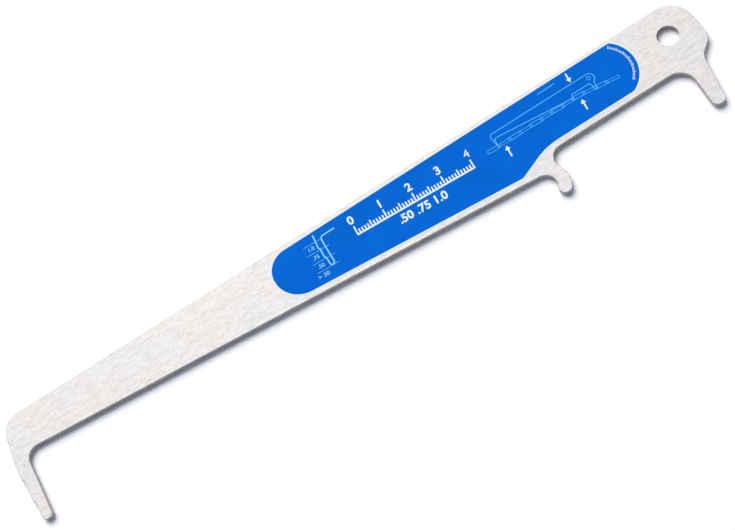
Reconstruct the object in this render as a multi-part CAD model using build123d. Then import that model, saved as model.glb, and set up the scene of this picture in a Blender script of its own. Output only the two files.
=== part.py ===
from build123d import *
import math
import os

# A chain wear gauge: one flat plate blanked from sheet steel, with a printed panel on its front face.
# Origin at the centre of the hanging hole on the back face. +X runs along the straight back edge from
# the measuring finger to the head, +Y points to the back edge, +Z is the printed face's side. Millimetres.

# The chain that is measured
pitch = 12.7                       # half an inch from roller to roller
finger_pitches = 18                # from the head prong's contact face to the measuring finger
middle_pitches = 4                 # from the head prong's contact face to the middle prong
zone_wear = (0.50, 0.75, 1.00)     # percent of wear that each flat of the finger stands for, tip first
chain_slope = 2.2                  # degrees by which the chain line falls towards the head
chain_drop = 21.0                  # hole centre down to the chain line at the head prong

# Plate
thickness = 2.0
edge_break = 0.2                   # tumbled edges, all round the outline on both faces
hole_diameter = 6.8
back_height = 9.7                  # hole centre to the straight back edge
heel_depth = 12.3                  # back edge to the lower edge, where the finger starts
belly_depth = 26.7                 # back edge to the lower edge, at the middle prong
neck_depth = 21.3                  # back edge to the lower edge, between middle and head prongs
heel_radius = 6.4                  # outer corner above the finger
finger_root_radius = 3.9

# Measuring finger
finger_width = 3.3                 # across the finger at its tip flat
finger_reach = 12.7                # chain line down to the finger's end
tip_flat_length = 6.4              # flat for the least wear, from the finger's end to the first step
step_flat_length = 7.6             # flat between the two steps
root_flat_length = 6.6             # flat for the most wear, up to where the back of the finger slants
finger_back_slant = 7.5            # degrees, back of the finger against the square to the back edge
step_angle = 45.0                  # slope of a step's face
step_rounding = 0.6                # share of a step's face that its two roundings take
finger_tip_radius = 1.4

# Middle prong: a finger curved round a roller
middle_root_radius = 3.8
middle_prong_width = 4.15
middle_prong_turn = 32.0           # degrees that its end lies below the centre of its curve
middle_notch_radius = 3.9

# Head
head_end = 9.85                    # hole centre to the end of the head
head_radius = 8.2
shoulder_drop = 7.35               # hole centre down to the corner above the notch
shoulder_angle = 40.0              # degrees, the notch's upper side against the back edge
shoulder_radius = 5.0
notch_reach = 6.85                 # along the notch's upper side, corner to corner
notch_radius = 5.4
prong_face_offset = 2.05           # hole centre to the head prong's contact face, at the chain line
prong_tip_width = 4.2
prong_reach = 6.85                 # chain line down to the prong's end
prong_root_radius = 5.5
prong_tip_radius = 1.95

# Printed panel on the front face
ink_thickness = 0.06
panel_back_margin = 1.2            # at the head's end
panel_back_margin_start = 1.8      # at the finger's end
panel_lower_margin = 2.1
panel_start = 138.9                # hole centre to the panel's rounded end towards the finger
panel_upper_radius = 7.4           # the lower round takes what this one leaves of the end's height
panel_start_flat = 0.15            # straight between the two
panel_end = 12.05                  # hole centre to the panel's rounded end towards the head
panel_end_rise = 0.4               # its furthest point above the hole's centre
panel_upper_bulge = 3.55           # how far the rounded end stands out past its upper corner
panel_lower_bulge = 6.2
panel_upper_corner = 1.5
panel_lower_corner = 3.0
panel_step_lead = 3.8              # start of the panel's narrowing before the middle prong's curve centre
panel_step_run = 11.2              # length over which it narrows
panel_step_corner = 2.5
panel_step_radius = 20.0


def line(point, angle):
    """A straight line, kept as a point on it and its direction in degrees."""
    return Vector(*point), Vector(math.cos(math.radians(angle)), math.sin(math.radians(angle)))


def meet(first, second):
    """The point where two lines cross."""
    (p, d), (q, e) = first, second
    along = ((q.X - p.X) * e.Y - (q.Y - p.Y) * e.X) / (d.X * e.Y - d.Y * e.X)
    return Vector(p.X + d.X * along, p.Y + d.Y * along)


def beside(original, distance):
    """The line parallel to another, to the left of its direction by the distance."""
    p, d = original
    return Vector(p.X - d.Y * distance, p.Y + d.X * distance), d


def level_at(edge, x):
    """The point of a line at a distance along the plate."""
    return meet(edge, line((x, 0), 90))


def at_angle(centre, radius, angle):
    """The point on a circle at an angle in degrees."""
    turn = math.radians(angle)
    return Vector(centre.X + radius * math.cos(turn), centre.Y + radius * math.sin(turn))


def arc(centre, radius, start, end):
    """A round edge from one angle to another, in degrees."""
    return CenterArc((centre.X, centre.Y), radius, start, end - start)


def angle_between(start, end):
    """Direction from one point to another, in degrees."""
    return math.degrees(math.atan2(end.Y - start.Y, end.X - start.X))


# Chain line and the contact faces square to it
chain_line = line((-prong_face_offset, -chain_drop), -chain_slope)
prong_face = line((-prong_face_offset, -chain_drop), 90 - chain_slope)


def contact_face(distance):
    """The face square to the chain that lies a distance along it from the head prong's face."""
    return beside(prong_face, distance)


nominal_length = finger_pitches * pitch
zone_faces = [contact_face(nominal_length * (1 + wear / 100)) for wear in zone_wear]
tip_face, middle_face, root_face = zone_faces
finger_inner_face = beside(tip_face, -finger_width)
middle_prong_face = contact_face(middle_pitches * pitch)

# Long edges of the plate
back_edge = line((0, back_height), 0)
neck_edge = beside(back_edge, -neck_depth)
heel_point = meet(finger_inner_face, beside(back_edge, -heel_depth))
belly_point = meet(middle_prong_face, beside(back_edge, -belly_depth))
taper_angle = angle_between(heel_point, belly_point)
belly_edge = line(heel_point, taper_angle)
middle_centre = meet(beside(belly_edge, -middle_root_radius), beside(middle_prong_face, middle_root_radius))


def finger_corners():
    """Corners and radii of the measuring finger, from its inner root round to the heel."""
    end_line = beside(chain_line, -finger_reach)
    first_step = beside(end_line, tip_flat_length)
    second_step = beside(first_step, step_flat_length)
    top_of_flats = beside(second_step, root_flat_length)
    tip_radius = min(finger_tip_radius, 0.48 * finger_width)
    corners = [
        (meet(belly_edge, finger_inner_face), finger_root_radius),
        (meet(finger_inner_face, end_line), tip_radius),
        (meet(end_line, tip_face), tip_radius),
    ]
    for inner_face, outer_face, level in ((tip_face, middle_face, first_step),
                                          (middle_face, root_face, second_step)):
        foot = meet(inner_face, level)
        top = meet(line(foot, 180 - chain_slope - step_angle), outer_face)
        radius = step_rounding * (top - foot).length / 2 / math.tan(math.radians(45 - step_angle / 2))
        corners += [(foot, radius), (top, radius)]
    shoulder = meet(root_face, top_of_flats)
    finger_back = line(shoulder, 90 - finger_back_slant)
    return corners + [(shoulder, heel_radius), (meet(finger_back, back_edge), heel_radius)]


def head_corners():
    """Corners and radii of the head, from the back edge round to the head prong's root."""
    end_face = line((head_end, 0), 90)
    shoulder = Vector(head_end, -shoulder_drop)
    turn = math.radians(180 + shoulder_angle)
    notch = shoulder + Vector(math.cos(turn), math.sin(turn)) * notch_reach
    tip_line = beside(chain_line, -prong_reach)
    tip_radius = min(prong_tip_radius, 0.48 * prong_tip_width)
    outer_tip = meet(beside(prong_face, -prong_tip_width), tip_line)
    return [
        (meet(back_edge, end_face), head_radius),
        (shoulder, shoulder_radius),
        (notch, notch_radius),
        (outer_tip, tip_radius),
        (meet(prong_face, tip_line), tip_radius),
        (meet(prong_face, neck_edge), prong_root_radius),
    ]


def plate_outline():
    """The whole outline: straight runs with rounded corners, then the curved middle prong."""
    outer_radius = middle_root_radius + middle_prong_width
    reach = outer_radius + middle_notch_radius
    notch_y = neck_edge[0].Y - middle_notch_radius
    notch_centre = Vector(middle_centre.X + math.sqrt(reach ** 2 - (notch_y - middle_centre.Y) ** 2), notch_y)
    to_notch = angle_between(middle_centre, notch_centre)
    tip_centre = at_angle(middle_centre, middle_root_radius + middle_prong_width / 2, -middle_prong_turn)

    root_angle = 90 + taper_angle
    start = at_angle(middle_centre, middle_root_radius, root_angle)
    end = at_angle(notch_centre, middle_notch_radius, 90)
    corners = finger_corners() + head_corners()
    straight_runs = FilletPolyline(start, *[point for point, radius in corners], end,
                                   radius=[radius for point, radius in corners])
    middle_prong = [
        arc(notch_centre, middle_notch_radius, 90, 180 + to_notch),
        arc(middle_centre, outer_radius, to_notch, -middle_prong_turn),
        arc(tip_centre, middle_prong_width / 2, -middle_prong_turn, -180 - middle_prong_turn),
        arc(middle_centre, middle_root_radius, -middle_prong_turn, root_angle),
    ]
    return make_face([*straight_runs.edges(), *middle_prong])


def gauge_plate():
    """The blanked plate with its softened outline and its hanging hole."""
    blank = extrude(plate_outline(), thickness)
    rims = [edge for level in (0, thickness)
            for edge in blank.edges().filter_by_position(Axis.Z, level, level)]
    plate = chamfer(rims, edge_break)
    return plate - Pos(0, 0, thickness / 2) * Cylinder(hole_diameter / 2, 2 * thickness)


def panel_outline():
    """The printed field: it follows the plate's long edges and steps in beside the middle prong."""
    upper_start = Vector(-panel_start, back_height - panel_back_margin_start)
    upper_slope = angle_between(upper_start, Vector(-panel_end, back_height - panel_back_margin))
    upper = line(upper_start, upper_slope)
    lower = beside(belly_edge, panel_lower_margin)
    neck = beside(neck_edge, panel_lower_margin)
    upper_start, lower_start = level_at(upper, -panel_start), level_at(lower, -panel_start)
    upper_half_angle = math.radians(90 + upper_slope) / 2
    lower_half_angle = math.radians(90 - taper_angle) / 2
    upper_reach = panel_upper_radius / math.tan(upper_half_angle)
    lower_reach = upper_start.Y - lower_start.Y - panel_start_flat - upper_reach
    step_start = middle_centre.X - panel_step_lead
    upper_end = level_at(upper, -panel_end - panel_upper_bulge)
    lower_end = level_at(neck, -panel_end - panel_lower_bulge)
    sides = FilletPolyline(upper_end,
                           upper_start, lower_start,
                           level_at(lower, step_start), level_at(neck, step_start + panel_step_run),
                           lower_end,
                           radius=[panel_upper_radius, lower_reach * math.tan(lower_half_angle),
                                   panel_step_corner, panel_step_radius])
    end_round = ThreePointArc(lower_end, (-panel_end, panel_end_rise), upper_end)
    face = make_face([*sides.edges(), end_round])
    for corner, radius in ((upper_end, panel_upper_corner), (lower_end, panel_lower_corner)):
        face = fillet(min(face.vertices(), key=lambda v: (Vector(v) - corner).length), radius)
    return face


def printed_panel():
    """The ink film on the front face."""
    return Pos(0, 0, thickness) * extrude(panel_outline(), ink_thickness)


os.makedirs("parts", exist_ok=True)
for name, solid in (("gauge_plate", gauge_plate()), ("printed_panel", printed_panel())):
    export_step(solid, f"parts/{name}.step")
    print(name, "volume", round(solid.volume, 3))
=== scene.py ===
import math

import bmesh
import bpy
from bpy.props import FloatProperty, FloatVectorProperty, IntProperty, PointerProperty
from mathutils import Matrix, Vector


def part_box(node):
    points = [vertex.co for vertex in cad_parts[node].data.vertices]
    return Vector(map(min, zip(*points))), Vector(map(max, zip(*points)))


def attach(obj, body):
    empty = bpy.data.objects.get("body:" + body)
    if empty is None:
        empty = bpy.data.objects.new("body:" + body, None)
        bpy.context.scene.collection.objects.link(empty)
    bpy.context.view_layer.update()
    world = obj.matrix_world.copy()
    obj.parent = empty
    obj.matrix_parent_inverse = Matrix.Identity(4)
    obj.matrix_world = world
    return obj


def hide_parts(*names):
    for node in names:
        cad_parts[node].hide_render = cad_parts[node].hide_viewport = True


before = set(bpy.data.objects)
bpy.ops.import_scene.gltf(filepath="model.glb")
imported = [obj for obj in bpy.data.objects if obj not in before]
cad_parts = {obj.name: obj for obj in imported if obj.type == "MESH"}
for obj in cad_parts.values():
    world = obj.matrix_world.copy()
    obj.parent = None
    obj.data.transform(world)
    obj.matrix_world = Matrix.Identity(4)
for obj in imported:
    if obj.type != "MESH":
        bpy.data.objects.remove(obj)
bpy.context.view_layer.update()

bl_info = {
    "name": "Chain Wear Gauge",
    "version": (1, 0, 0),
    "blender": (4, 5, 0),
    "location": "3D View > Sidebar > Gauge",
    "description": "Dresses a blanked chain wear gauge: satin steel, blue printed panel, white line print",
    "category": "Object",
}

# The frame is in metres. Places on the plate are given in millimetres from the hanging hole's centre,
# x along the back edge and y towards it.
MM = 0.001
BODY = "root"
PLATE_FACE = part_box("gauge_plate")[1].z
INK_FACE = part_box("printed_panel")[1].z
SAME_CORNER = 0.002 * MM       # corners of the solids' meshes that are nearer than this are one
TOP_DEPTH = 0.01 * MM          # faces of the panel that lie deeper than this aren't its top
PASS_RISE = 0.15               # a line laid over others is thicker by this share for each of them
ROUND_STEPS = 8                # short straights in a rounded corner of a printed line
LINK_ROUND_STEPS = 4           # and in a drawn link's

# Values of a noise, from nought to one, between which a finish goes from its first state to its second
PATCH_RANGE = (0.35, 0.65)
STREAK_RANGE = (0.62, 0.3)
GRAIN_RANGE = (0.65, 0.3)
GLOSS_RANGE = (0.3, 0.7)

# Finishes
STEEL_GLOSS_SPREAD = (-0.04, 0.05)  # change of the roughness from the streaks' one end to the other
WALL_RANGE = (0.1, 0.6)        # upward share of a face's direction, on a wall and on a flat face
BUMP_STRENGTH = 0.5
BLUE_ROUGHNESS = (0.52, 0.6)
BLUE_SPECULAR = 0.01
DEEPER_BLUE = 0.93             # brightness of the clouds' deeper places
LINE_ROUGHNESS = 0.55
LINE_SPECULAR = 0.1
THINNER_LINE = (0.86, 0.93, 0.98)  # share of each colour that is left where a line's ink is thinner

# Printed drawing of the measuring finger, from the top of its stepped side round to its root
FINGER = ((-122.0, 7.0), (-122.55, 2.3), (-122.2, 1.6), (-122.35, -1.1), (-122.0, -1.8),
          (-122.0, -4.75), (-120.6, -4.75), (-120.35, 5.2), (-115.3, 5.2))
FINGER_ROUND = 1.1
ZONE_LINES = ((-126.4, -120.7, 4.72), (-126.6, -119.2, 1.68),
              (-126.7, -119.2, -1.66), (-126.7, -119.3, -4.76))
ZONE_LABELS = (("1.0", 3.25), (".75", 0.05), (".50", -3.2), ("> .50", -6.3))
ZONE_LABEL_X = -123.5
ZONE_LABEL_WEIGHT = 0.01
ZONE_SLOPE = -0.035            # rise over run

# Printed drawing of the gauge on a chain
USE_BACK = ((-60.9, -1.7), (-61.3, 3.6), (-40.0, 3.6))
USE_HEAD = ((-40.0, 3.6), (-24.9, 3.6), (-25.3, 0.9), (-26.3, 0.2), (-26.4, -2.5))
USE_BELLY = ((-60.9, -1.7), (-60.6, 1.85), (-34.6, -0.75), (-33.9, -1.2))
USE_NECK = ((-34.2, -0.9), (-34.2, 0.42), (-27.35, 0.42), (-27.3, -2.5), (-26.4, -2.5))
USE_ROUND = 0.8
USE_HEAD_ROUND = 1.7
USE_HOLE = (-26.85, 2.1)
USE_HOLE_RADIUS = 0.55
USE_HOLE_SIDES = 24
CHAIN_LINE = ((-62.3, -1.1), (-32.4, -1.1), (-21.4, -2.5))
INNER_LINK_CHANGE = -0.2       # every second link is narrower by this share
SHORT_STROKE = ((-42.2, 6.62), (-36.2, 6.72))
ARROWS = (((-59.25, -6.2), (-58.9, -2.3)), ((-32.75, -6.5), (-32.4, -2.65)),
          ((-31.65, 7.55), (-31.9, 4.2)))
ARROW_HEAD_REACH = 0.8         # length of an arrow's head, as a share of its width
ARROW_SHAFT = 0.28             # width of its shaft, likewise

# Plain rule and plain numbers in the middle of the panel
RULE_START = (-110.3, -0.9)
RULE_NUMBERS = ("0", "1", "2", "3", "4")
WEAR_NUMBERS = ((".50", -95.5), (".75", -89.6), ("1.0", -83.9))
WEAR_NUMBERS_Y = -5.75
PRINT_SLOPE = -2.7             # degrees
RULE_FIFTH = 1.45              # length of the rule's fifth marks, as a share of the short ones
RULE_TENTH = 1.9
RULE_BASE = 1.2                # width of the rule's base line, as a share of its marks
MARKS_PER_NUMBER = 10
NUMBER_CLEARANCE = (2.1, 0.25)  # shares of a short mark and of a number, from base line to number
NUMBER_WEIGHT = 0.028          # thickening of a number's lines, as a share of its type size
UNTHICKENED_NUMBER = "4"       # its closed eye is too small for a thicker line
CAPITAL_SHARE = 0.7            # height of a number, as a share of its type size
TYPE_STEPS = 4                 # short straights in each bend of a number

# Graduated arc at the panel's rounded end, its start and sweep in degrees
END_CENTRE = (-23.0, 0.4)
END_START = 47.0
END_SWEEP = -91.0
END_STEPS = 60


class GaugeSteelSizes(bpy.types.PropertyGroup):
    """Look of the steel plate"""

    warm: FloatVectorProperty(name="Steel, warm", description="Colour of the steel's warmer patches",
                              subtype="COLOR", size=3, min=0, max=1, default=(0.798, 0.765, 0.735))
    cool: FloatVectorProperty(name="Steel, cool", description="Colour of the steel's cooler patches",
                              subtype="COLOR", size=3, min=0, max=1, default=(0.781, 0.765, 0.765))
    contrast: FloatProperty(name="Streak contrast", description="How dark the darkest streaks are",
                            default=0.26, min=0, max=1, subtype="FACTOR")
    roughness: FloatProperty(name="Roughness", description="How matt the tumbled face is", default=0.70,
                             min=0, max=1, subtype="FACTOR")
    streak_length: FloatProperty(name="Streak length", description="Length of the rolling streaks",
                                 default=3.4 * MM, unit="LENGTH", subtype="DISTANCE", precision=5)
    streak_width: FloatProperty(name="Streak width", description="Width of the rolling streaks",
                                default=1.1 * MM, unit="LENGTH", subtype="DISTANCE", precision=5)
    grain: FloatProperty(name="Grain", description="Size of the tumbled surface's grain", default=0.7 * MM,
                         unit="LENGTH", subtype="DISTANCE", precision=5)
    patch: FloatProperty(name="Patches", description="Size of the warm and cool patches", default=13 * MM,
                         unit="LENGTH", subtype="DISTANCE", precision=5)
    relief: FloatProperty(name="Relief", description="Depth of the grain", default=0.012 * MM,
                          unit="LENGTH", subtype="DISTANCE", precision=6)
    # painted shade: how bright the upright walls are left, a darkening painted into their colour
    painted_wall_shade: FloatProperty(name="Painted wall shade", description="Brightness of the walls beside the faces",
                           default=0.72, min=0, max=1, subtype="FACTOR")
    smooth_angle: FloatProperty(name="Smooth below", description="Edges flatter than this are shaded round",
                                default=math.radians(32), unit="ROTATION", subtype="ANGLE")


class GaugePrintSizes(bpy.types.PropertyGroup):
    """Sizes and colours of the print"""

    blue: FloatVectorProperty(name="Blue", description="Colour of the panel's ink", subtype="COLOR",
                              size=3, min=0, max=1, default=(0.0012, 0.147, 0.687))
    white: FloatVectorProperty(name="White", description="Colour of the full white print", subtype="COLOR",
                               size=3, min=0, max=1, default=(0.89, 0.97, 1.0))
    pale: FloatVectorProperty(name="Pale", description="Colour of the pale print, where some blue shows",
                              subtype="COLOR", size=3, min=0, max=1, default=(0.33, 0.75, 1.0))
    thin: FloatVectorProperty(name="Thin", description="Colour of the thinnest lines, where more shows",
                              subtype="COLOR", size=3, min=0, max=1, default=(0.10, 0.53, 1.0))
    cloud: FloatProperty(name="Clouds", description="Size of the faint clouds in the blue",
                         default=9 * MM, unit="LENGTH", subtype="DISTANCE", precision=5)
    peel: FloatProperty(name="Peel", description="Size of the blue ink's peel", default=0.5 * MM,
                        unit="LENGTH", subtype="DISTANCE", precision=5)
    peel_relief: FloatProperty(name="Peel relief", description="Depth of the blue ink's peel",
                               default=0.006 * MM, unit="LENGTH", subtype="DISTANCE", precision=6)
    line_cloud: FloatProperty(name="Line clouds", description="Size of the uneven places in a line's ink",
                              default=0.6 * MM, unit="LENGTH", subtype="DISTANCE", precision=5)
    film: FloatProperty(name="Film", description="Thickness of a printed line's ink", default=0.012 * MM,
                        unit="LENGTH", subtype="DISTANCE", precision=6)
    keyline: FloatProperty(name="Keyline", description="Width of the white base that shows round the blue",
                           default=0.42 * MM, unit="LENGTH", subtype="DISTANCE", precision=5)
    outline: FloatProperty(name="Outline", description="Width of the finger drawing's outline",
                           default=0.40 * MM, unit="LENGTH", subtype="DISTANCE", precision=5)
    use_line: FloatProperty(name="Use drawing", description="Width of the use drawing's outline",
                            default=0.26 * MM, unit="LENGTH", subtype="DISTANCE", precision=5)
    fine: FloatProperty(name="Fine line", description="Width of the drawings' fine lines",
                        default=0.18 * MM, unit="LENGTH", subtype="DISTANCE", precision=5)
    label: FloatProperty(name="Labels", description="Height of the zone labels", default=1.25 * MM,
                         unit="LENGTH", subtype="DISTANCE", precision=5)
    link_pitch: FloatProperty(name="Link pitch", description="Pitch of the drawn chain", default=3.7 * MM,
                              unit="LENGTH", subtype="DISTANCE", precision=5)
    link_height: FloatProperty(name="Link height", description="Height of the drawn chain",
                               default=1.12 * MM, unit="LENGTH", subtype="DISTANCE", precision=5)
    link_lap: FloatProperty(name="Link lap", description="How far drawn links lap", default=0.75 * MM,
                            unit="LENGTH", subtype="DISTANCE", precision=5)
    link_round: FloatProperty(name="Link round", description="Radius of a drawn link's corners",
                              default=0.35 * MM, unit="LENGTH", subtype="DISTANCE", precision=5)
    arrow: FloatProperty(name="Arrow head", description="Width of the arrow heads", default=1.7 * MM,
                         unit="LENGTH", subtype="DISTANCE", precision=5)
    number: FloatProperty(name="Numbers", description="Height of the rule's and the wear numbers",
                          default=2.7 * MM, unit="LENGTH", subtype="DISTANCE", precision=5)
    rule_tick: FloatProperty(name="Rule mark", description="Length of the rule's short marks",
                             default=1.6 * MM, unit="LENGTH", subtype="DISTANCE", precision=5)
    rule_line: FloatProperty(name="Rule line", description="Width of the rule's marks",
                             default=0.46 * MM, unit="LENGTH", subtype="DISTANCE", precision=5)
    rule_ticks: IntProperty(name="Rule ticks", description="Number of marks on the rule", default=41, min=2)
    rule_step: FloatProperty(name="Rule step", description="Distance between marks on the rule", default=MM,
                             unit="LENGTH", subtype="DISTANCE", precision=5)
    end_ticks: IntProperty(name="End ticks", description="Number of marks on the panel's end",
                           default=31, min=2)
    end_radius: FloatProperty(name="End radius", description="Radius of the graduated arc",
                              default=9.0 * MM, unit="LENGTH", subtype="DISTANCE", precision=5)
    end_mark: FloatProperty(name="End mark", description="Length of the arc's short marks",
                            default=0.7 * MM, unit="LENGTH", subtype="DISTANCE", precision=5)
    end_fifth: FloatProperty(name="End fifth mark", description="Length of the arc's fifth marks",
                             default=0.95 * MM, unit="LENGTH", subtype="DISTANCE", precision=5)
    end_line: FloatProperty(name="End line", description="Width of the arc's marks", default=0.22 * MM,
                            unit="LENGTH", subtype="DISTANCE", precision=5)


class GaugeStageSizes(bpy.types.PropertyGroup):
    """Camera, light and floor"""

    aim: FloatVectorProperty(name="Aim", description="Point at the picture's centre", subtype="XYZ", size=3,
                             unit="LENGTH", precision=4, default=(-112.93 * MM, -11.0 * MM, 2.0 * MM))
    distance: FloatProperty(name="Distance", description="Camera to that point", default=472.5 * MM,
                            unit="LENGTH", subtype="DISTANCE")
    azimuth: FloatProperty(name="Azimuth", description="Camera's bearing, anticlockwise from +X",
                           default=math.radians(-92.89), unit="ROTATION", subtype="ANGLE")
    elevation: FloatProperty(name="Elevation", description="Camera's height above the plate's plane",
                             default=math.radians(65.2), unit="ROTATION", subtype="ANGLE")
    roll: FloatProperty(name="Roll", description="Camera's turn about its view", default=math.radians(29.7),
                        unit="ROTATION", subtype="ANGLE")
    lens: FloatProperty(name="Lens", description="Focal length in millimetres on a 36 mm sensor",
                        default=78.37)
    key_power: FloatProperty(name="Key", description="Strength of the broad soft light", default=3.1)
    key_azimuth: FloatProperty(name="Key azimuth", description="Bearing of the broad light",
                               default=math.radians(92), unit="ROTATION", subtype="ANGLE")
    key_elevation: FloatProperty(name="Key elevation", description="Height of the broad light",
                                 default=math.radians(50), unit="ROTATION", subtype="ANGLE")
    key_spread: FloatProperty(name="Key spread", description="Width of the broad light, as an angle",
                              default=math.radians(50), unit="ROTATION", subtype="ANGLE")
    key_colour: FloatVectorProperty(name="Key colour", description="Colour of the broad light",
                                    subtype="COLOR", size=3, min=0, max=1, default=(1.0, 0.985, 0.955))
    room: FloatProperty(name="Room", description="Strength of the light from all round", default=0.28)
    room_colour: FloatVectorProperty(name="Room colour", description="Colour of the light from all round",
                                     subtype="COLOR", size=3, min=0, max=1, default=(0.71, 0.79, 1.0))
    floor_gain: FloatProperty(name="Floor lift", description="Floor as seen against floor as it lights",
                              default=1.16)
    floor: FloatVectorProperty(name="Floor", description="Colour of the floor", subtype="COLOR", size=3,
                               min=0, max=1, default=(0.93, 0.93, 0.94))
    floor_drop: FloatProperty(name="Floor drop", description="Space left under the plate",
                              default=0.02 * MM, unit="LENGTH", subtype="DISTANCE", precision=6)
    floor_size: FloatProperty(name="Floor size", description="Side of the floor", default=6.0,
                              unit="LENGTH", subtype="DISTANCE")


def link_nodes(tree, *pairs):
    """Join sockets in a node tree, each pair an output and an input."""
    for output, target in pairs:
        tree.links.new(output, target)


def add_node(tree, kind, **settings):
    """A node with its properties set."""
    made = tree.nodes.new(kind)
    for name, value in settings.items():
        setattr(made, name, value)
    return made


def new_material(name):
    """A node material with an empty tree but for its shader; returns the material, tree and shader."""
    material = bpy.data.materials.new(name)
    material.use_nodes = True
    return material, material.node_tree, material.node_tree.nodes["Principled BSDF"]


def noise_on_object(tree, size, detail=2.0, roughness=0.5):
    """Noise laid on the object's own coordinates; its size is in metres, one number or one each way."""
    place = add_node(tree, "ShaderNodeTexCoord")
    mapping = add_node(tree, "ShaderNodeMapping")
    sides = size if isinstance(size, tuple) else (size, size, size)
    mapping.inputs["Scale"].default_value = [1 / side for side in sides]
    noise = add_node(tree, "ShaderNodeTexNoise")
    noise.inputs["Scale"].default_value = 1.0
    noise.inputs["Detail"].default_value = detail
    noise.inputs["Roughness"].default_value = roughness
    link_nodes(tree, (place.outputs["Object"], mapping.inputs["Vector"]),
               (mapping.outputs["Vector"], noise.inputs["Vector"]))
    return noise.outputs["Fac"]


def spread(tree, source, reach, values=(0.0, 1.0)):
    """Map a value from one range to another."""
    node = add_node(tree, "ShaderNodeMapRange")
    for name, value in zip(("From Min", "From Max", "To Min", "To Max"), (*reach, *values)):
        node.inputs[name].default_value = value
    link_nodes(tree, (source, node.inputs["Value"]))
    return node.outputs["Result"]


def mix_colour(tree, factor, first, second, blend="MIX"):
    """Mix two colours by a factor's socket; each colour is a socket or a plain colour."""
    node = add_node(tree, "ShaderNodeMix", data_type="RGBA", blend_type=blend)
    for socket, value in ((node.inputs[0], factor), (node.inputs[6], first), (node.inputs[7], second)):
        if isinstance(value, bpy.types.NodeSocket):
            link_nodes(tree, (value, socket))
        else:
            socket.default_value = (*value, 1.0)
    return node.outputs[2]


def bump_from(tree, height, distance, below=None):
    """A bump of a real depth, on top of another if one is given."""
    bump = add_node(tree, "ShaderNodeBump")
    bump.inputs["Strength"].default_value = BUMP_STRENGTH
    bump.inputs["Distance"].default_value = distance
    link_nodes(tree, (height, bump.inputs["Height"]))
    if below is not None:
        link_nodes(tree, (below, bump.inputs["Normal"]))
    return bump.outputs["Normal"]


def seen_ray(tree):
    """One where a ray comes from the camera or a reflection, nought where it only lights."""
    path = add_node(tree, "ShaderNodeLightPath")
    direct = add_node(tree, "ShaderNodeMath", operation="MAXIMUM")
    either = add_node(tree, "ShaderNodeMath", operation="MAXIMUM")
    link_nodes(tree, (path.outputs["Is Camera Ray"], direct.inputs[0]),
               (path.outputs["Is Glossy Ray"], direct.inputs[1]),
               (direct.outputs[0], either.inputs[0]),
               (path.outputs["Is Transmission Ray"], either.inputs[1]))
    return either.outputs[0]


def grey(level):
    """A plain grey of that brightness."""
    return level, level, level


def steel_material(sizes):
    """Tumbled stainless steel: warm and cool patches, short rolling streaks, fine grain, and walls darkened
    as painted shade.
    """
    material, tree, shader = new_material("satin_steel")
    patches = noise_on_object(tree, sizes.patch)
    streaks = noise_on_object(tree, (sizes.streak_length, sizes.streak_width, sizes.streak_width),
                              detail=4.0, roughness=0.6)
    grain = noise_on_object(tree, sizes.grain, detail=3.0, roughness=0.6)
    tint = mix_colour(tree, spread(tree, patches, PATCH_RANGE), tuple(sizes.warm), tuple(sizes.cool))
    streaked = mix_colour(tree, spread(tree, streaks, STREAK_RANGE), tint,
                          grey(1 - sizes.contrast), "MULTIPLY")
    grained = mix_colour(tree, spread(tree, grain, GRAIN_RANGE), streaked,
                         grey(1 - sizes.contrast / 2), "MULTIPLY")
    # painted shade: the upright walls' colour is darkened by the painted wall shade factor
    base = mix_colour(tree, wall_share(tree), grained, grey(sizes.painted_wall_shade), "MULTIPLY")
    rough = spread(tree, streaks, GLOSS_RANGE, [sizes.roughness + change for change in STEEL_GLOSS_SPREAD])
    fine = bump_from(tree, grain, sizes.relief)
    link_nodes(tree, (base, shader.inputs["Base Color"]), (rough, shader.inputs["Roughness"]),
               (bump_from(tree, streaks, sizes.relief, fine), shader.inputs["Normal"]))
    shader.inputs["Metallic"].default_value = 1.0
    return material


def wall_share(tree):
    """One on the plate's upright walls, nought on its flat faces; it places the painted wall shade."""
    surface = add_node(tree, "ShaderNodeNewGeometry")
    parts = add_node(tree, "ShaderNodeSeparateXYZ")
    upright = add_node(tree, "ShaderNodeMath", operation="ABSOLUTE")
    link_nodes(tree, (surface.outputs["True Normal"], parts.inputs["Vector"]),
               (parts.outputs["Z"], upright.inputs[0]))
    return spread(tree, upright.outputs[0], WALL_RANGE, (1.0, 0.0))


def blue_ink_material(sizes):
    """Stoved blue ink: even, with a faint cloudiness, a soft gloss and the fine peel of a screen print."""
    material, tree, shader = new_material("blue_ink")
    clouds = noise_on_object(tree, sizes.cloud)
    peel = noise_on_object(tree, sizes.peel)
    deeper = tuple(channel * DEEPER_BLUE for channel in sizes.blue)
    colour = mix_colour(tree, spread(tree, clouds, PATCH_RANGE), deeper, tuple(sizes.blue))
    link_nodes(tree, (colour, shader.inputs["Base Color"]),
               (spread(tree, peel, GLOSS_RANGE, BLUE_ROUGHNESS), shader.inputs["Roughness"]),
               (bump_from(tree, peel, sizes.peel_relief), shader.inputs["Normal"]))
    shader.inputs["Specular IOR Level"].default_value = BLUE_SPECULAR
    return material


def line_ink_material(name, colour, cloud):
    """Screen-printed line ink: slightly uneven, thin enough to let a little of the blue through."""
    material, tree, shader = new_material(name)
    clouds = noise_on_object(tree, cloud)
    thinner = tuple(channel * share for channel, share in zip(colour, THINNER_LINE))
    mixed = mix_colour(tree, spread(tree, clouds, PATCH_RANGE), thinner, tuple(colour))
    link_nodes(tree, (mixed, shader.inputs["Base Color"]))
    shader.inputs["Roughness"].default_value = LINE_ROUGHNESS
    shader.inputs["Specular IOR Level"].default_value = LINE_SPECULAR
    return material


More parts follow.
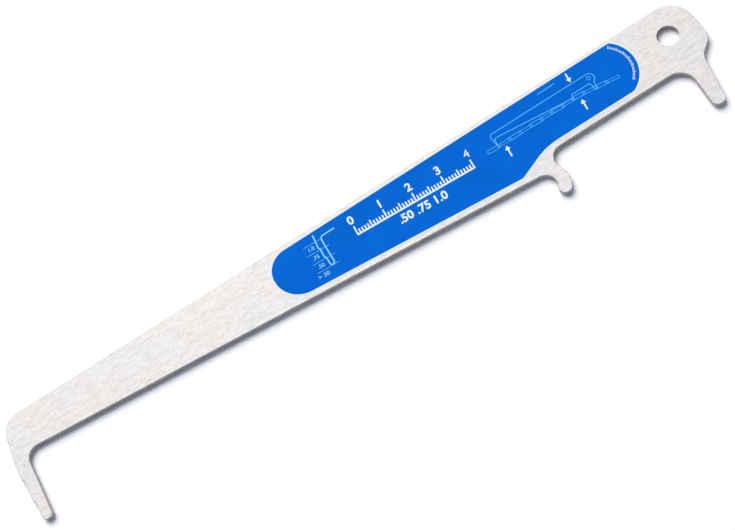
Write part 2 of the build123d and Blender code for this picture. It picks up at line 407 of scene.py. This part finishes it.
def line_ink(name):
    """The white, pale or thin line ink, made the first time it is asked for."""
    sizes = bpy.context.scene.gauge_print
    colours = {"white_ink": sizes.white, "pale_ink": sizes.pale, "thin_ink": sizes.thin}
    return bpy.data.materials.get(name) or line_ink_material(name, colours[name], sizes.line_cloud)


def plate_point(place, height=0.0):
    """A place on the drawing, in millimetres, as a point of the frame."""
    return Vector((place[0] * MM, place[1] * MM, height))


def object_from(name, mesh):
    """An object in the scene with that mesh."""
    made = bpy.data.objects.new(name, mesh)
    bpy.context.scene.collection.objects.link(made)
    return made


def path_mesh(points, closed=False):
    """A mesh of edges only, from point to point, to guide a tree."""
    mesh = bpy.data.meshes.new("path")
    count = len(points)
    edges = [(i, i + 1) for i in range(count - 1)]
    if closed:
        edges.append((count - 1, 0))
    mesh.from_pydata([tuple(point) for point in points], edges, [])
    return mesh


def ink_path(places):
    """A path through places on the drawing, halfway up a printed line's ink."""
    level = INK_FACE + bpy.context.scene.gauge_print.film / 2
    return path_mesh([plate_point(place, level) for place in places])


def direction(azimuth, elevation):
    """A step of length one towards that bearing and height."""
    flat = math.cos(elevation)
    return Vector((flat * math.cos(azimuth), flat * math.sin(azimuth), math.sin(elevation)))


def new_tree(name, sockets):
    """A geometry tree with named inputs; returns it with its input and output nodes."""
    tree = bpy.data.node_groups.new(name, "GeometryNodeTree")
    tree.is_modifier = True
    tree.interface.new_socket("Geometry", in_out="INPUT", socket_type="NodeSocketGeometry")
    for label, kind in sockets:
        tree.interface.new_socket(label, in_out="INPUT", socket_type=kind)
    tree.interface.new_socket("Geometry", in_out="OUTPUT", socket_type="NodeSocketGeometry")
    return tree, add_node(tree, "NodeGroupInput"), add_node(tree, "NodeGroupOutput")


def grown_by_tree(mesh, tree, values):
    """Run a tree on a mesh with its inputs set by name, and return the plain mesh that results."""
    guide = object_from("guide", mesh)
    modifier = guide.modifiers.new("tree", "NODES")
    modifier.node_group = tree
    for item in tree.interface.items_tree:
        if item.item_type == "SOCKET" and item.in_out == "INPUT" and item.name in values:
            modifier[item.identifier] = values[item.name]
    guide.update_tag()
    graph = bpy.context.evaluated_depsgraph_get()
    graph.update()
    result = bpy.data.meshes.new_from_object(guide.evaluated_get(graph))
    guide.modifiers.remove(modifier)
    bpy.data.objects.remove(guide)
    bpy.data.meshes.remove(mesh)
    if not result.polygons:
        raise RuntimeError(f"{tree.name} made nothing")
    result.materials.clear()
    result.materials.append(values["Material"])
    for face in result.polygons:
        face.material_index = 0
        face.use_smooth = False
    return result


def close_tree(tree, inputs, outputs, geometry):
    """End a tree in Realize Instances and Set Material."""
    realize = add_node(tree, "GeometryNodeRealizeInstances")
    paint = add_node(tree, "GeometryNodeSetMaterial")
    link_nodes(tree, (geometry, realize.inputs["Geometry"]),
               (realize.outputs["Geometry"], paint.inputs["Geometry"]),
               (inputs.outputs["Material"], paint.inputs["Material"]),
               (paint.outputs["Geometry"], outputs.inputs["Geometry"]))
    return tree


def swept_band(tree, curve, width, height):
    """A flat band of ink along a flat curve that runs through its middle."""
    upright = add_node(tree, "GeometryNodeSetCurveNormal", mode="Z_UP")
    section = add_node(tree, "GeometryNodeCurvePrimitiveQuadrilateral")
    sweep = add_node(tree, "GeometryNodeCurveToMesh")
    sweep.inputs["Fill Caps"].default_value = True
    link_nodes(tree, (curve, upright.inputs["Curve"]), (upright.outputs["Curve"], sweep.inputs["Curve"]),
               (width, section.inputs["Width"]), (height, section.inputs["Height"]),
               (section.outputs["Curve"], sweep.inputs["Profile Curve"]))
    return sweep.outputs["Mesh"]


def stroke_tree():
    """Tree that draws a printed line along a path, with its corners rounded."""
    tree, inputs, outputs = new_tree("printed_line", (
        ("Width", "NodeSocketFloat"), ("Height", "NodeSocketFloat"), ("Corner", "NodeSocketFloat"),
        ("Material", "NodeSocketMaterial")))
    curve = add_node(tree, "GeometryNodeMeshToCurve")
    rounded = add_node(tree, "GeometryNodeFilletCurve", mode="POLY")
    rounded.inputs["Count"].default_value = ROUND_STEPS
    rounded.inputs["Limit Radius"].default_value = True
    link_nodes(tree, (inputs.outputs["Geometry"], curve.inputs["Mesh"]),
               (curve.outputs["Curve"], rounded.inputs["Curve"]),
               (inputs.outputs["Corner"], rounded.inputs["Radius"]))
    band = swept_band(tree, rounded.outputs["Curve"], inputs.outputs["Width"], inputs.outputs["Height"])
    return close_tree(tree, inputs, outputs, band)


def chain_tree():
    """Tree that lays lapping link outlines along a path, every second one narrower and a little thicker."""
    tree, inputs, outputs = new_tree("printed_chain", (
        ("Pitch", "NodeSocketFloat"), ("Lap", "NodeSocketFloat"), ("Link height", "NodeSocketFloat"),
        ("Corner", "NodeSocketFloat"), ("Width", "NodeSocketFloat"), ("Height", "NodeSocketFloat"),
        ("Material", "NodeSocketMaterial")))
    curve = add_node(tree, "GeometryNodeMeshToCurve")
    stations = add_node(tree, "GeometryNodeCurveToPoints", mode="LENGTH")
    length = add_node(tree, "ShaderNodeMath", operation="ADD")
    outline = add_node(tree, "GeometryNodeCurvePrimitiveQuadrilateral")
    rounded = add_node(tree, "GeometryNodeFilletCurve", mode="POLY")
    rounded.inputs["Count"].default_value = LINK_ROUND_STEPS
    rounded.inputs["Limit Radius"].default_value = True
    along = add_node(tree, "FunctionNodeAlignRotationToVector", axis="X")
    index = add_node(tree, "GeometryNodeInputIndex")
    odd = add_node(tree, "ShaderNodeMath", operation="MODULO")
    odd.inputs[1].default_value = 2.0
    scale = add_node(tree, "ShaderNodeCombineXYZ")
    scale.inputs["X"].default_value = 1.0
    for axis, change in (("Y", INNER_LINK_CHANGE), ("Z", PASS_RISE)):
        changed = add_node(tree, "ShaderNodeMath", operation="MULTIPLY_ADD")
        changed.inputs[1].default_value = change
        changed.inputs[2].default_value = 1.0
        link_nodes(tree, (odd.outputs[0], changed.inputs[0]), (changed.outputs[0], scale.inputs[axis]))
    links = add_node(tree, "GeometryNodeInstanceOnPoints")
    link_nodes(tree, (inputs.outputs["Geometry"], curve.inputs["Mesh"]),
               (curve.outputs["Curve"], stations.inputs["Curve"]),
               (inputs.outputs["Pitch"], stations.inputs["Length"]),
               (inputs.outputs["Pitch"], length.inputs[0]), (inputs.outputs["Lap"], length.inputs[1]),
               (length.outputs[0], outline.inputs["Width"]),
               (inputs.outputs["Link height"], outline.inputs["Height"]),
               (outline.outputs["Curve"], rounded.inputs["Curve"]),
               (inputs.outputs["Corner"], rounded.inputs["Radius"]),
               (stations.outputs["Tangent"], along.inputs["Vector"]),
               (index.outputs["Index"], odd.inputs[0]),
               (stations.outputs["Points"], links.inputs["Points"]),
               (along.outputs["Rotation"], links.inputs["Rotation"]),
               (scale.outputs["Vector"], links.inputs["Scale"]))
    band = swept_band(tree, rounded.outputs["Curve"], inputs.outputs["Width"], inputs.outputs["Height"])
    link_nodes(tree, (band, links.inputs["Instance"]))
    return close_tree(tree, inputs, outputs, links.outputs["Instances"])


def graduation_tree():
    """Tree that sets marks along a path: short ones, a longer fifth and the longest tenth."""
    tree, inputs, outputs = new_tree("graduation", (
        ("Count", "NodeSocketInt"), ("Short", "NodeSocketFloat"), ("Fifth", "NodeSocketFloat"),
        ("Tenth", "NodeSocketFloat"), ("Width", "NodeSocketFloat"), ("Height", "NodeSocketFloat"),
        ("Material", "NodeSocketMaterial")))
    curve = add_node(tree, "GeometryNodeMeshToCurve")
    stations = add_node(tree, "GeometryNodeCurveToPoints", mode="COUNT")
    along = add_node(tree, "FunctionNodeAlignRotationToVector", axis="X")
    size = add_node(tree, "ShaderNodeCombineXYZ")
    size.inputs["Y"].default_value = 1.0
    mark = add_node(tree, "GeometryNodeMeshCube")
    lift = add_node(tree, "GeometryNodeTransform")
    lift.inputs["Translation"].default_value = (0, 0.5, 0)
    index = add_node(tree, "GeometryNodeInputIndex")
    length = inputs.outputs["Short"]
    link_nodes(tree, (inputs.outputs["Geometry"], curve.inputs["Mesh"]),
               (curve.outputs["Curve"], stations.inputs["Curve"]),
               (inputs.outputs["Count"], stations.inputs["Count"]),
               (stations.outputs["Tangent"], along.inputs["Vector"]),
               (inputs.outputs["Width"], size.inputs["X"]), (inputs.outputs["Height"], size.inputs["Z"]),
               (size.outputs["Vector"], mark.inputs["Size"]),
               (mark.outputs["Mesh"], lift.inputs["Geometry"]))
    for every, label in ((5.0, "Fifth"), (10.0, "Tenth")):
        rest = add_node(tree, "ShaderNodeMath", operation="MODULO")
        rest.inputs[1].default_value = every
        whole = add_node(tree, "ShaderNodeMath", operation="LESS_THAN")
        whole.inputs[1].default_value = 0.5
        longer = add_node(tree, "ShaderNodeMix", data_type="FLOAT")
        link_nodes(tree, (index.outputs["Index"], rest.inputs[0]), (rest.outputs[0], whole.inputs[0]),
                   (whole.outputs[0], longer.inputs[0]), (length, longer.inputs[2]),
                   (inputs.outputs[label], longer.inputs[3]))
        length = longer.outputs[0]
    scale = add_node(tree, "ShaderNodeCombineXYZ")
    scale.inputs["X"].default_value = 1.0
    scale.inputs["Z"].default_value = 1.0
    marks = add_node(tree, "GeometryNodeInstanceOnPoints")
    link_nodes(tree, (length, scale.inputs["Y"]), (scale.outputs["Vector"], marks.inputs["Scale"]),
               (stations.outputs["Points"], marks.inputs["Points"]),
               (lift.outputs["Geometry"], marks.inputs["Instance"]),
               (along.outputs["Rotation"], marks.inputs["Rotation"]))
    return close_tree(tree, inputs, outputs, marks.outputs["Instances"])


def shared_tree(maker, name):
    """The tree of that name, made the first time it is asked for."""
    return bpy.data.node_groups.get(name) or maker()


def printed_line(points, width, height, ink, corner=0.0, closed=False, level=INK_FACE):
    """Mesh of one printed line along points of the frame, standing on a level."""
    raised = [Vector((point.x, point.y, level + height / 2)) for point in points]
    return grown_by_tree(path_mesh(raised, closed), shared_tree(stroke_tree, "printed_line"), {
        "Width": width, "Height": height, "Corner": corner, "Material": line_ink(ink)})


def drawn(places, width, corner=0.0, closed=False, ink="pale_ink", pass_number=0):
    """Mesh of one printed line along places on the drawing; a later pass is a little thicker."""
    height = bpy.context.scene.gauge_print.film * (1 + PASS_RISE * pass_number)
    return printed_line([plate_point(place) for place in places], width, height, ink, corner, closed)


def round_places(centre, radius, start, sweep, count):
    """Places on a round, in millimetres."""
    turns = [math.radians(start + sweep * i / (count - 1)) for i in range(count)]
    return [(centre[0] + radius * math.cos(turn), centre[1] + radius * math.sin(turn)) for turn in turns]


def rule_place(reach, rise=0.0):
    """The place on the plate that far along the rule and above it, in millimetres."""
    turn = math.radians(PRINT_SLOPE)
    return (RULE_START[0] + reach * math.cos(turn) - rise * math.sin(turn),
            RULE_START[1] + reach * math.sin(turn) + rise * math.cos(turn))


def text_mesh(words, height, place, slope=0.0, anchor="CENTER", weight=0.0, ink="white_ink"):
    """Mesh of plain numbers, standing on a place of the drawing."""
    sizes = bpy.context.scene.gauge_print
    letters = bpy.data.curves.new("numbers", "FONT")
    letters.body = words
    letters.size = 1.0
    letters.align_x = anchor
    letters.offset = weight
    letters.resolution_u = TYPE_STEPS
    letters.extrude = 0.5
    letters.materials.append(line_ink(ink))
    holder = object_from("numbers", letters)
    bpy.context.view_layer.update()
    mesh = bpy.data.meshes.new_from_object(holder.evaluated_get(bpy.context.evaluated_depsgraph_get()))
    bpy.data.objects.remove(holder)
    bpy.data.curves.remove(letters)
    size = height / CAPITAL_SHARE
    mesh.transform(Matrix.Translation(plate_point(place, INK_FACE + sizes.film / 2))
                   @ Matrix.Rotation(math.radians(slope), 4, "Z")
                   @ Matrix.Diagonal((size, size, sizes.film, 1)))
    return mesh


def arrow_mesh(tail, tip, head, shaft):
    """Mesh of a printed arrow from one place to another."""
    sizes = bpy.context.scene.gauge_print
    start = plate_point(tail, INK_FACE)
    end = plate_point(tip, INK_FACE)
    ahead = (end - start).normalized()
    side = Vector((-ahead.y, ahead.x, 0))
    neck = end - ahead * head * ARROW_HEAD_REACH
    corners = [end, neck + side * head / 2, neck + side * shaft / 2, start + side * shaft / 2,
               start - side * shaft / 2, neck - side * shaft / 2, neck - side * head / 2]
    form = bmesh.new()
    base = form.faces.new([form.verts.new(corner) for corner in corners])
    raised = bmesh.ops.extrude_face_region(form, geom=[base])
    tops = [item for item in raised["geom"] if isinstance(item, bmesh.types.BMVert)]
    bmesh.ops.translate(form, verts=tops, vec=(0, 0, sizes.film))
    bmesh.ops.recalc_face_normals(form, faces=form.faces)
    mesh = bpy.data.meshes.new("arrow")
    form.to_mesh(mesh)
    form.free()
    mesh.materials.append(line_ink("white_ink"))
    return mesh


def joined(name, meshes):
    """One object from several meshes of one material."""
    form = bmesh.new()
    for mesh in meshes:
        form.from_mesh(mesh)
    whole = bpy.data.meshes.new(name)
    whole.materials.append(meshes[0].materials[0])
    form.to_mesh(whole)
    form.free()
    for mesh in meshes:
        bpy.data.meshes.remove(mesh)
    for face in whole.polygons:
        face.material_index = 0
    return object_from(name, whole)


def ride_plate(piece):
    """The piece moves with the plate."""
    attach(piece, BODY)


class GaugePlate(bpy.types.Operator):
    """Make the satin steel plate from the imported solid, with its round edges shaded smooth"""

    bl_idname = "gauge.plate"
    bl_label = "Steel plate"

    def execute(self, context):
        sizes = context.scene.gauge_steel
        form = bmesh.new()
        form.from_mesh(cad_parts["gauge_plate"].data)
        bmesh.ops.remove_doubles(form, verts=form.verts, dist=SAME_CORNER)
        bmesh.ops.recalc_face_normals(form, faces=form.faces)
        for face in form.faces:
            face.smooth = True
        for edge in form.edges:
            edge.smooth = edge.calc_face_angle(math.pi) < sizes.smooth_angle
        mesh = bpy.data.meshes.new("steel_plate")
        form.to_mesh(mesh)
        form.free()
        mesh.materials.append(steel_material(sizes))
        plate = object_from("steel_plate", mesh)
        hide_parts("gauge_plate")
        ride_plate(plate)
        return {"FINISHED"}


class GaugePanel(bpy.types.Operator):
    """Give the printed panel its blue ink, and draw the white base that shows round it"""

    bl_idname = "gauge.panel"
    bl_label = "Blue panel"

    def execute(self, context):
        sizes = context.scene.gauge_print
        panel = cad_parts["printed_panel"]
        blue = blue_ink_material(sizes)
        for slot in panel.material_slots:
            slot.material = blue
        rim = self.rim_points(panel.data)
        keyline = printed_line(rim, sizes.keyline * 2, (INK_FACE - PLATE_FACE) / 2, "white_ink",
                               closed=True, level=PLATE_FACE)
        ride_plate(object_from("panel_keyline", keyline))
        return {"FINISHED"}

    def rim_points(self, mesh):
        """Points round the panel's top face, in order."""
        form = bmesh.new()
        form.from_mesh(mesh)
        bmesh.ops.remove_doubles(form, verts=form.verts, dist=SAME_CORNER)
        low = [face for face in form.faces if face.calc_center_median().z < INK_FACE - TOP_DEPTH]
        bmesh.ops.delete(form, geom=low, context="FACES")
        rim = {}
        for edge in form.edges:
            if edge.is_boundary:
                here, there = edge.verts
                rim.setdefault(here.index, []).append(there.index)
                rim.setdefault(there.index, []).append(here.index)
        places = {vert.index: vert.co.copy() for vert in form.verts}
        form.free()
        first = min(rim)
        order = [first, rim[first][0]]
        while True:
            onward = [index for index in rim[order[-1]] if index != order[-2]][0]
            if onward == first:
                return [places[index] for index in order]
            order.append(onward)


class GaugeFingerDrawing(bpy.types.Operator):
    """Print the drawing of the measuring finger, its zone lines and their numbers"""

    bl_idname = "gauge.finger_drawing"
    bl_label = "Finger drawing"

    def execute(self, context):
        sizes = context.scene.gauge_print
        zones = [drawn(((start, level), (end, level + ZONE_SLOPE * (end - start))), sizes.fine,
                       ink="thin_ink") for start, end, level in ZONE_LINES]
        ride_plate(joined("zone_lines", zones))
        meshes = [drawn(FINGER, sizes.outline, FINGER_ROUND * MM, pass_number=1)]
        for words, level in ZONE_LABELS:
            meshes.append(text_mesh(words, sizes.label, (ZONE_LABEL_X, level - sizes.label / MM / 2),
                                    math.degrees(ZONE_SLOPE), "RIGHT", ZONE_LABEL_WEIGHT, "pale_ink"))
        ride_plate(joined("finger_drawing", meshes))
        return {"FINISHED"}


class GaugeUseDrawing(bpy.types.Operator):
    """Print the drawing of the gauge on a chain, with its arrows"""

    bl_idname = "gauge.use_drawing"
    bl_label = "Use drawing"

    def execute(self, context):
        sizes = context.scene.gauge_print
        outlines = ((USE_BACK, USE_ROUND), (USE_BELLY, USE_ROUND), (USE_NECK, USE_ROUND),
                    (USE_HEAD, USE_HEAD_ROUND))
        meshes = [drawn(places, sizes.use_line, corner * MM, ink="thin_ink", pass_number=i)
                  for i, (places, corner) in enumerate(outlines, start=1)]
        hole = round_places(USE_HOLE, USE_HOLE_RADIUS, 0, 360 - 360 / USE_HOLE_SIDES, USE_HOLE_SIDES)
        meshes.append(drawn(hole, sizes.fine, closed=True, ink="thin_ink"))
        meshes.append(drawn(SHORT_STROKE, sizes.use_line, ink="thin_ink"))
        meshes.append(grown_by_tree(ink_path(CHAIN_LINE), shared_tree(chain_tree, "printed_chain"), {
            "Pitch": sizes.link_pitch, "Lap": sizes.link_lap, "Link height": sizes.link_height,
            "Corner": sizes.link_round, "Width": sizes.fine, "Height": sizes.film,
            "Material": line_ink("thin_ink")}))
        ride_plate(joined("use_drawing", meshes))
        arrows = [arrow_mesh(tail, tip, sizes.arrow, sizes.arrow * ARROW_SHAFT) for tail, tip in ARROWS]
        ride_plate(joined("use_arrows", arrows))
        return {"FINISHED"}


class GaugeRule(bpy.types.Operator):
    """Print the plain rule and the plain numbers in the middle of the panel"""

    bl_idname = "gauge.rule"
    bl_label = "Rule"

    def execute(self, context):
        sizes = context.scene.gauge_print
        length = (sizes.rule_ticks - 1) * sizes.rule_step / MM
        half_line = sizes.rule_line / MM / 2
        path = ink_path((rule_place(0), rule_place(length)))
        meshes = [grown_by_tree(path, shared_tree(graduation_tree, "graduation"), {
            "Count": sizes.rule_ticks, "Short": sizes.rule_tick, "Fifth": RULE_FIFTH * sizes.rule_tick,
            "Tenth": RULE_TENTH * sizes.rule_tick, "Width": sizes.rule_line, "Height": sizes.film,
            "Material": line_ink("white_ink")})]
        meshes.append(drawn((rule_place(-half_line), rule_place(length + half_line)),
                            RULE_BASE * sizes.rule_line, ink="white_ink", pass_number=1))
        rise = (NUMBER_CLEARANCE[0] * sizes.rule_tick + NUMBER_CLEARANCE[1] * sizes.number) / MM
        for i, words in enumerate(RULE_NUMBERS):
            place = rule_place(MARKS_PER_NUMBER * i * sizes.rule_step / MM, rise)
            weight = 0.0 if words == UNTHICKENED_NUMBER else NUMBER_WEIGHT
            meshes.append(text_mesh(words, sizes.number, place, PRINT_SLOPE, weight=weight))
        for words, across in WEAR_NUMBERS:
            fall = math.tan(math.radians(PRINT_SLOPE)) * (across - WEAR_NUMBERS[0][1])
            meshes.append(text_mesh(words, sizes.number, (across, WEAR_NUMBERS_Y + fall), PRINT_SLOPE,
                                    weight=NUMBER_WEIGHT))
        ride_plate(joined("rule", meshes))
        return {"FINISHED"}


class GaugeEndGraduation(bpy.types.Operator):
    """Print the graduated arc that follows the panel's rounded end"""

    bl_idname = "gauge.end_graduation"
    bl_label = "End graduation"

    def execute(self, context):
        sizes = context.scene.gauge_print
        arc = round_places(END_CENTRE, sizes.end_radius / MM, END_START, END_SWEEP, END_STEPS)
        mesh = grown_by_tree(ink_path(arc), shared_tree(graduation_tree, "graduation"), {
            "Count": sizes.end_ticks, "Short": sizes.end_mark, "Fifth": sizes.end_fifth,
            "Tenth": sizes.end_fifth, "Width": sizes.end_line, "Height": sizes.film,
            "Material": line_ink("white_ink")})
        ride_plate(object_from("end_graduation", mesh))
        return {"FINISHED"}


class GaugeStage(bpy.types.Operator):
    """Set the floor, the soft light, the camera and the colour management"""

    bl_idname = "gauge.stage"
    bl_label = "Stage"

    def execute(self, context):
        sizes = context.scene.gauge_stage
        self.add_floor(sizes)
        self.add_key(sizes)
        self.set_room(context.scene, sizes)
        self.add_camera(context.scene, sizes)
        context.scene.view_settings.view_transform = "Standard"
        return {"FINISHED"}

    def add_floor(self, sizes):
        """A plain pale floor just under the plate, lifted to white where it is seen."""
        material, tree, shader = new_material("floor_paper")
        plain = add_node(tree, "ShaderNodeBsdfDiffuse")
        plain.inputs["Color"].default_value = (*sizes.floor, 1.0)
        lifted = add_node(tree, "ShaderNodeBsdfDiffuse")
        brighter = [channel * sizes.floor_gain for channel in sizes.floor]
        lifted.inputs["Color"].default_value = (*brighter, 1.0)
        choice = add_node(tree, "ShaderNodeMixShader")
        link_nodes(tree, (seen_ray(tree), choice.inputs[0]), (plain.outputs[0], choice.inputs[1]),
                   (lifted.outputs[0], choice.inputs[2]),
                   (choice.outputs[0], tree.nodes["Material Output"].inputs["Surface"]))
        tree.nodes.remove(shader)
        form = bmesh.new()
        bmesh.ops.create_grid(form, x_segments=1, y_segments=1, size=sizes.floor_size / 2)
        bmesh.ops.translate(form, verts=form.verts, vec=(sizes.aim.x, 0, -sizes.floor_drop))
        mesh = bpy.data.meshes.new("floor")
        form.to_mesh(mesh)
        form.free()
        mesh.materials.append(material)
        object_from("floor", mesh)

    def add_key(self, sizes):
        """One broad soft light from beyond the back edge."""
        lamp = bpy.data.lights.new("key", "SUN")
        lamp.angle = sizes.key_spread
        lamp.energy = sizes.key_power
        lamp.color = sizes.key_colour
        holder = object_from("key", lamp)
        away = direction(sizes.key_azimuth, sizes.key_elevation)
        holder.location = Vector(sizes.aim) + away * sizes.distance
        holder.rotation_euler = away.to_track_quat("Z", "Y").to_euler()

    def set_room(self, scene, sizes):
        """Even bluish light from all round."""
        world = bpy.data.worlds.new("room")
        world.use_nodes = True
        background = world.node_tree.nodes["Background"]
        background.inputs["Color"].default_value = (*sizes.room_colour, 1)
        background.inputs["Strength"].default_value = sizes.room
        scene.world = world

    def add_camera(self, scene, sizes):
        """The camera looks down at the plate, turned about its own view."""
        data = bpy.data.cameras.new("camera")
        data.sensor_fit = "HORIZONTAL"
        data.sensor_width = 36.0
        data.lens = sizes.lens
        data.clip_start = 0.01
        camera = object_from("camera", data)
        back = direction(sizes.azimuth, sizes.elevation)
        level = Vector((0, 0, 1)).cross(back).normalized()
        upright = back.cross(level)
        up = upright * math.cos(sizes.roll) + level * math.sin(sizes.roll)
        right = up.cross(back)
        turn = Matrix((right, up, back)).transposed().to_4x4()
        camera.matrix_world = Matrix.Translation(Vector(sizes.aim) + back * sizes.distance) @ turn
        scene.camera = camera


PIECES = (GaugePlate, GaugePanel, GaugeFingerDrawing, GaugeUseDrawing, GaugeRule, GaugeEndGraduation,
          GaugeStage)
SIZE_GROUPS = (("gauge_steel", GaugeSteelSizes), ("gauge_print", GaugePrintSizes),
               ("gauge_stage", GaugeStageSizes))


class GaugeSidebar(bpy.types.Panel):
    """Lists the gauge's pieces and their sizes"""

    bl_idname = "VIEW3D_PT_gauge"
    bl_label = "Chain wear gauge"
    bl_space_type = "VIEW_3D"
    bl_region_type = "UI"
    bl_category = "Gauge"

    def draw(self, context):
        for piece in PIECES:
            self.layout.operator(piece.bl_idname)
        for name, group in SIZE_GROUPS:
            box = self.layout.box()
            for key in group.__annotations__:
                box.prop(getattr(context.scene, name), key)


def register():
    """Add the sizes, the pieces' operators and the panel."""
    for name, group in SIZE_GROUPS:
        bpy.utils.register_class(group)
        setattr(bpy.types.Scene, name, PointerProperty(type=group))
    for made in (*PIECES, GaugeSidebar):
        bpy.utils.register_class(made)


def unregister():
    """Take them away again, last one first."""
    for made in reversed((*PIECES, GaugeSidebar)):
        bpy.utils.unregister_class(made)
    for name, group in reversed(SIZE_GROUPS):
        delattr(bpy.types.Scene, name)
        bpy.utils.unregister_class(group)


def main():
    """Make every piece and the stage in order."""
    register()
    for piece in PIECES:
        place, name = piece.bl_idname.split(".")
        getattr(getattr(bpy.ops, place), name)()


if __name__ == "__main__":
    main()
